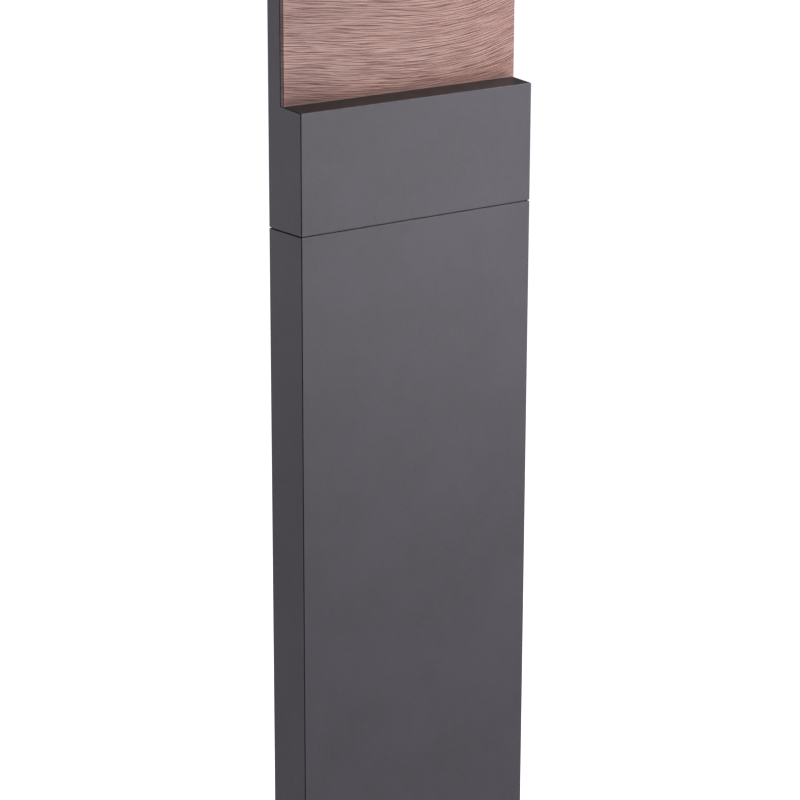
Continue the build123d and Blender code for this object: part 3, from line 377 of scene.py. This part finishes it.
def galvanised_steel(name):
    """Hot-dip zinc: spangle that changes tone and gloss from crystal to crystal, with white bloom."""
    s = Shader(name, Metallic=1.0)
    wander = s.join(s.noise(3.0), s.noise(3.0, shift=5.0), 0.0)
    warped = s.vector("ADD", s.place, s.vector("MULTIPLY", wander, (3.0, 3.0, 3.0)))
    crystal, _, _ = s.split(s.cells(SPANGLE, "Color", place=warped))
    borders = s.ramp(s.cells(SPANGLE, feature="DISTANCE_TO_EDGE", place=warped), 0.0, 0.06, 1.0, 0.0)
    bloom = s.ramp(s.noise(12.0, 4.0, 0.65, shift=8.0), 0.55, 0.72, 0.0, 0.5)
    tone = s.mix(crystal, (0.42, 0.44, 0.46), (0.62, 0.64, 0.66))
    tone = s.mix(s.math("MULTIPLY", borders, 0.4), tone, (0.34, 0.36, 0.38))
    s.set("Base Color", s.mix(bloom, tone, (0.72, 0.73, 0.74)))
    s.set("Roughness", s.total((crystal, 0.16), (bloom, 0.25), (1.0, 0.34)))
    s.bump(s.total((crystal, 0.4), (borders, -0.6), (s.noise(0.8, shift=2.0), 0.5)), 0.03)
    return s.material


def stainless_steel(name):
    """Cold-headed stainless fasteners: fine forming marks and a slow, slightly darker cloud."""
    s = Shader(name, Metallic=1.0)
    marks = s.noise(0.35, 3.0, 0.6)
    cloud = s.noise(3.0, 2.0, shift=6.0)
    tone = s.mix(s.ramp(marks, 0.3, 0.7), (0.54, 0.53, 0.51), (0.68, 0.67, 0.65))
    s.set("Base Color", s.stain(tone, cloud, 0.4, 0.7, 0.5, (0.50, 0.49, 0.47)))
    s.set("Roughness", s.ramp(marks, 0.3, 0.7, 0.24, 0.38))
    s.bump(marks, 0.01)
    return s.material


def tinned_copper(name):
    """Tin plate with a dull bloom and copper showing where it is worn through."""
    s = Shader(name, Metallic=1.0)
    wear = s.noise(1.6, 3.0, 0.6)
    bloom = s.noise(4.0, 3.0, 0.6, shift=3.0)
    tone = s.mix(s.ramp(bloom, 0.35, 0.65), (0.66, 0.63, 0.58), (0.76, 0.74, 0.70))
    s.set("Base Color", s.stain(tone, wear, 0.60, 0.70, 0.7, (0.70, 0.36, 0.22)))
    s.set("Roughness", s.ramp(bloom, 0.3, 0.7, 0.28, 0.46))
    s.bump(bloom, 0.02)
    return s.material


# ---- plastics, rubber and foam ------------------------------------------------------------------------
FINE_DUST = (0.35, 0.34, 0.32)
PLASTICS = (  # slot, colour, roughness, size of the grain, its depth, spread of tone, dust
    ("black_rubber", (0.012, 0.012, 0.013), 0.72, 0.30, 0.020, 0.10, 0.10),
    ("white_nylon", (0.76, 0.76, 0.72), 0.42, 0.40, 0.015, 0.04, 0.0),
    ("driver_plastic", (0.045, 0.045, 0.050), 0.55, 0.70, 0.050, 0.10, 0.0),
    ("grey_box_plastic", (0.50, 0.51, 0.52), 0.50, 0.60, 0.040, 0.05, 0.06),
    ("black_nylon", (0.018, 0.018, 0.020), 0.40, 0.50, 0.020, 0.15, 0.05),
    ("black_cable_jacket", (0.016, 0.016, 0.017), 0.50, 0.35, 0.020, 0.15, 0.06),
    ("brown_core", (0.12, 0.045, 0.018), 0.36, 0.40, 0.010, 0.10, 0.0),
    ("blue_core", (0.02, 0.10, 0.38), 0.36, 0.40, 0.010, 0.10, 0.0),
)
TRANSLUCENT = {"white_nylon": {"Subsurface_Weight": 0.1, "Subsurface_Scale": 0.001}}


def moulded(name, colour, roughness, grain_size, depth, spread, dust, shift, **settings):
    """A moulded surface: spark-eroded grain, slow tone variation, flow marks and a little pale dust."""
    s = Shader(name, **settings)
    cloud = s.noise(14.0, 3.0, 0.5, shift=shift)
    flow = s.noise((30.0, 30.0, 4.0), 2.0, 0.5, shift=shift + 3.0)
    grain = s.noise(grain_size, 2.0, 0.65, shift=shift)
    tone = s.mix(s.ramp(cloud, 0.3, 0.7), scaled(colour, 1 - spread), scaled(colour, 1 + spread))
    tone = s.stain(tone, flow, 0.55, 0.75, 0.4, scaled(colour, 1 - 2 * spread))
    level = s.total((s.facing(0, 0, 1), 0.3), (grain, 0.5), (cloud, 0.5))
    settled = s.ramp(level, 0.45, 0.95, 0.0, dust)
    s.set("Base Color", s.mix(settled, tone, FINE_DUST))
    pitted = s.ramp(grain, 0.25, 0.75, roughness - 0.06, roughness + 0.06)
    s.set("Roughness", s.total((pitted, 1.0), (settled, 0.3)))
    s.bump(s.total((grain, 1.0), (flow, 0.3)), depth)
    return s.material


def foam(name):
    """Closed-cell foam tape: small round cells, each darker in its middle."""
    s = Shader(name, Specular_IOR_Level=0.2)
    cell = s.cells(0.32)
    pore = s.ramp(cell, 0.30, 0.55)
    cloud = s.noise(5.0, 2.0)
    tone = s.mix(s.ramp(cloud, 0.3, 0.7), (0.010, 0.009, 0.010), (0.018, 0.016, 0.017))
    s.set("Base Color", s.mix(pore, (0.004, 0.004, 0.004), tone))
    s.set("Roughness", s.ramp(cell, 0.2, 0.6, 0.95, 0.80))
    s.bump(cell, 0.12)
    return s.material


def opal_acrylic(name):
    """Opal sheet with a satin lower face and a faint scatter of pigment."""
    s = Shader(name, Subsurface_Weight=0.25, Subsurface_Scale=0.002, Specular_IOR_Level=0.45)
    pigment = s.noise(0.8, 3.0, 0.6)
    cloud = s.noise(24.0, 2.0, shift=5.0)
    tone = s.mix(s.ramp(cloud, 0.35, 0.65), (0.82, 0.82, 0.79), (0.88, 0.88, 0.86))
    s.set("Base Color", s.stain(tone, pigment, 0.55, 0.75, 0.2, (0.93, 0.93, 0.92)))
    s.set("Roughness", s.ramp(pigment, 0.3, 0.7, 0.30, 0.40))
    s.bump(pigment, 0.008)
    return s.material


# ---- LED strip ----------------------------------------------------------------------------------------
LED_COUNT = 12
LED_WIDTH = 3.5
LED_PITCH = (CHIPS_HIGH.x - CHIPS_LOW.x - LED_WIDTH) / (LED_COUNT - 1)
LED_Y = (CHIPS_LOW.y + CHIPS_HIGH.y) / 2
LED_WINDOW_RADIUS = 1.11
PAD_HALF_LENGTH = 2.5  # of the pads under each LED, along X
PAD_HALF_WIDTH = 1.6
RAIL_INSIDE = 2.0  # from the LEDs' line to the near side of a copper rail
RAIL_OUTSIDE = 3.6


def along_row(s, x):
    """Distance in millimetres, along the LED row, from the nearest LED's centre."""
    first = CHIPS_LOW.x + LED_WIDTH / 2
    turn = s.math("FRACT", s.total((x, 1 / LED_PITCH), (1.0, 0.5 - first / LED_PITCH)))
    return s.math("MULTIPLY", s.math("ABSOLUTE", s.math("SUBTRACT", turn, 0.5)), LED_PITCH)


def circuit_board(name):
    """White solder mask over two copper rails and the pads of each LED, with bare fibreglass edges."""
    s = Shader(name, Coat_Weight=0.3, Coat_Roughness=0.12)
    x, y, _ = s.split(s.place)
    off_axis = s.math("ABSOLUTE", s.math("SUBTRACT", y, LED_Y))
    beyond_inside = s.ramp(off_axis, RAIL_INSIDE - 0.1, RAIL_INSIDE + 0.1)
    rail = s.math("MULTIPLY", beyond_inside, s.within(off_axis, RAIL_OUTSIDE, 0.1))
    beside_led = s.within(along_row(s, x), PAD_HALF_LENGTH, 0.1)
    pad = s.math("MULTIPLY", beside_led, s.within(off_axis, PAD_HALF_WIDTH, 0.1))
    weave = s.noise((0.9, 0.5, 0.4), 2.0)
    cloud = s.noise(12.0, 2.0, shift=3.0)
    tone = s.mix(s.ramp(cloud, 0.3, 0.7), (0.78, 0.79, 0.77), (0.84, 0.85, 0.84))
    tone = s.mix(s.math("MULTIPLY", rail, 0.35), tone, (0.70, 0.66, 0.58))
    tone = s.mix(s.math("MULTIPLY", pad, 0.8), tone, (0.62, 0.60, 0.56))
    flat = s.ramp(s.math("ABSOLUTE", s.facing(0, 0, 1)), 0.5, 0.7)
    s.set("Base Color", s.mix(flat, s.mix(weave, (0.42, 0.38, 0.22), (0.62, 0.58, 0.40)), tone))
    s.set("Roughness", s.ramp(cloud, 0.3, 0.7, 0.28, 0.36))
    s.bump(s.total((rail, 1.0), (pad, 0.6), (weave, 0.2)), 0.035)
    return s.material


def led_package(name):
    """White LED body with the yellow phosphor in its round window."""
    s = Shader(name)
    x, y, _ = s.split(s.place)
    off_axis = s.math("SUBTRACT", y, LED_Y)
    from_centre = s.vector("LENGTH", s.join(along_row(s, x), off_axis, 0.0))
    grain = s.noise(0.12, 2.0)
    phosphor = s.mix(s.ramp(grain, 0.3, 0.7), (0.72, 0.44, 0.03), (0.88, 0.62, 0.07))
    body = s.mix(s.ramp(s.noise(1.5), 0.3, 0.7), (0.78, 0.78, 0.76), (0.86, 0.86, 0.84))
    window = s.within(from_centre, LED_WINDOW_RADIUS, 0.03)
    s.set("Base Color", s.mix(window, body, phosphor))
    s.set("Roughness", s.ramp(window, 0.0, 1.0, 0.42, 0.24))
    s.bump(grain, 0.006)
    return s.material


def striped_core(name):
    """Protective-earth insulation: a yellow stripe along green."""
    s = Shader(name)
    cloud = s.noise(4.0, 2.0)
    stripe = s.ramp(s.facing(0.7, 0.7, 0.1), 0.10, 0.16)
    green = s.mix(s.ramp(cloud, 0.3, 0.7), (0.03, 0.20, 0.035), (0.045, 0.27, 0.05))
    yellow = s.mix(s.ramp(cloud, 0.3, 0.7), (0.66, 0.50, 0.03), (0.78, 0.62, 0.05))
    s.set("Base Color", s.mix(stripe, green, yellow))
    s.set("Roughness", s.ramp(cloud, 0.3, 0.7, 0.32, 0.42))
    s.bump(s.noise(0.4, 2.0, shift=2.0), 0.01)
    return s.material


# ---- a material for every slot of the record ----------------------------------------------------------
MATERIALS = {
    "anthracite_aluminium": powder_coat("anthracite_aluminium", 0.0),
    "anthracite_steel": powder_coat("anthracite_steel", 30.0, painted_shade_on_edges=False),
    "wood_look_board": wood_board("wood_look_board"),
    "foam_tape": foam("foam_tape"),
    "bare_aluminium": brushed_metal("bare_aluminium", (0.72, 0.73, 0.74), along=0),
    "opal_acrylic": opal_acrylic("opal_acrylic"),
    "white_circuit_board": circuit_board("white_circuit_board"),
    "led_package": led_package("led_package"),
    "galvanised_steel": galvanised_steel("galvanised_steel"),
    "stainless_steel": stainless_steel("stainless_steel"),
    "tinned_copper": tinned_copper("tinned_copper"),
    "green_yellow_core": striped_core("green_yellow_core"),
}
for shift, (slot, *look) in enumerate(PLASTICS, start=1):
    MATERIALS[slot] = moulded(slot, *look, float(shift), **TRANSLUCENT.get(slot, {}))

for node in frame["record"]["subparts"]:
    for holder in frame["nodes"][node["node"]].material_slots:
        holder.material = MATERIALS[node["material_slot"]]


# ---- floor, light and camera --------------------------------------------------------------------------
LAMP_COLOUR = (1.04, 0.985, 1.06)
FLOOR_REACH = 14.0
FLOOR_COLOUR = (0.50, 0.50, 0.50)
FLOOR_GLOW = 1.075
SOFT_BOXES = (  # name, azimuth, distance, height, width, tall, watts, height aimed at
    ("right", 100.0, 1.5, 1.5, 0.8, 0.8, 11.8, 0.45),
    ("front_near", 37.0, 0.7, 0.6, 0.4, 0.6, 4.3, 0.6),
    ("front_high", 45.0, 0.6, 1.2, 0.4, 0.4, 4.1, 0.65),
    ("front_low", 30.0, 1.2, 0.43, 0.35, 0.6, 8.2, 0.43),
    ("left", -143.0, 1.1, 0.56, 0.5, 0.7, 2.8, 0.56),
    ("above", 180.0, 0.5, 2.2, 0.9, 0.9, 5.0, 0.8),
)
CAMERA_AZIMUTH = -36.94
CAMERA_ELEVATION = 16.35
CAMERA_ROLL = 0.168
CAMERA_DISTANCE = 1.913
CAMERA_LENS = 133.6
CAMERA_SENSOR = 36.0
CAMERA_TARGET = Vector((-0.0012, 0.0, SEAM_Z * MM - 0.1225))  # on the post, below the seam


def around(azimuth, reach, height):
    """A point at that reach from the Z axis: azimuth 0 is in front, at -Y, and 90 is at +X."""
    turn = math.radians(azimuth)
    return Vector((math.sin(turn) * reach, -math.cos(turn) * reach, height))


def floor():
    """A white light table: a pale diffusing sheet that also glows from below."""
    mesh = bpy.data.meshes.new("floor")
    signs = ((-1, -1), (1, -1), (1, 1), (-1, 1))
    mesh.from_pydata([(x * FLOOR_REACH, y * FLOOR_REACH, 0) for x, y in signs], [], [(0, 1, 2, 3)])
    ground = bpy.data.objects.new("floor", mesh)
    bpy.context.scene.collection.objects.link(ground)
    glow = {"Emission_Color": LAMP_COLOUR, "Emission_Strength": FLOOR_GLOW}
    mesh.materials.append(Shader("floor", Base_Color=FLOOR_COLOUR, Roughness=0.9, **glow).material)


def soft_box(name, azimuth, distance, height, width, tall, watts, aim):
    """A rectangular area light beside the object, aimed at a height on the post's axis."""
    data = bpy.data.lights.new(name, "AREA")
    data.shape = "RECTANGLE"
    data.size = width
    data.size_y = tall
    data.energy = watts
    data.color = LAMP_COLOUR
    light = bpy.data.objects.new(name, data)
    light.location = around(azimuth, distance, height)
    towards = Vector((0.0, 0.0, aim)) - light.location
    light.rotation_euler = towards.to_track_quat("-Z", "Y").to_euler()
    light.visible_camera = False
    bpy.context.scene.collection.objects.link(light)


def camera():
    """A long lens on the post from the front left and a little above, with a slight roll."""
    elevation = math.radians(CAMERA_ELEVATION)
    roll = math.radians(CAMERA_ROLL)
    back = around(CAMERA_AZIMUTH, math.cos(elevation), math.sin(elevation))
    right = (-back).cross(Vector((0, 0, 1))).normalized()
    up = right.cross(-back)
    turned_right = right * math.cos(roll) + up * math.sin(roll)
    turned_up = up * math.cos(roll) - right * math.sin(roll)
    data = bpy.data.cameras.new("camera")
    data.sensor_width = CAMERA_SENSOR
    data.lens = CAMERA_LENS
    view = bpy.data.objects.new("camera", data)
    axes = Matrix((turned_right, turned_up, back)).transposed().to_4x4()
    view.matrix_world = Matrix.Translation(CAMERA_TARGET + back * CAMERA_DISTANCE) @ axes
    bpy.context.scene.collection.objects.link(view)
    bpy.context.scene.camera = view


def surroundings():
    """White behind the floor's far edge, and no other light from the world."""
    world = bpy.data.worlds.new("studio")
    bpy.context.scene.world = world
    world.use_nodes = True
    background = world.node_tree.nodes["Background"]
    background.inputs["Color"].default_value = (1.0, 1.0, 1.0, 1.0)
    seen = world.node_tree.nodes.new("ShaderNodeLightPath").outputs["Is Camera Ray"]
    world.node_tree.links.new(seen, background.inputs["Strength"])
    bpy.context.scene.view_settings.view_transform = "Standard"


floor()
surroundings()
for box in SOFT_BOXES:
    soft_box(*box)
camera()
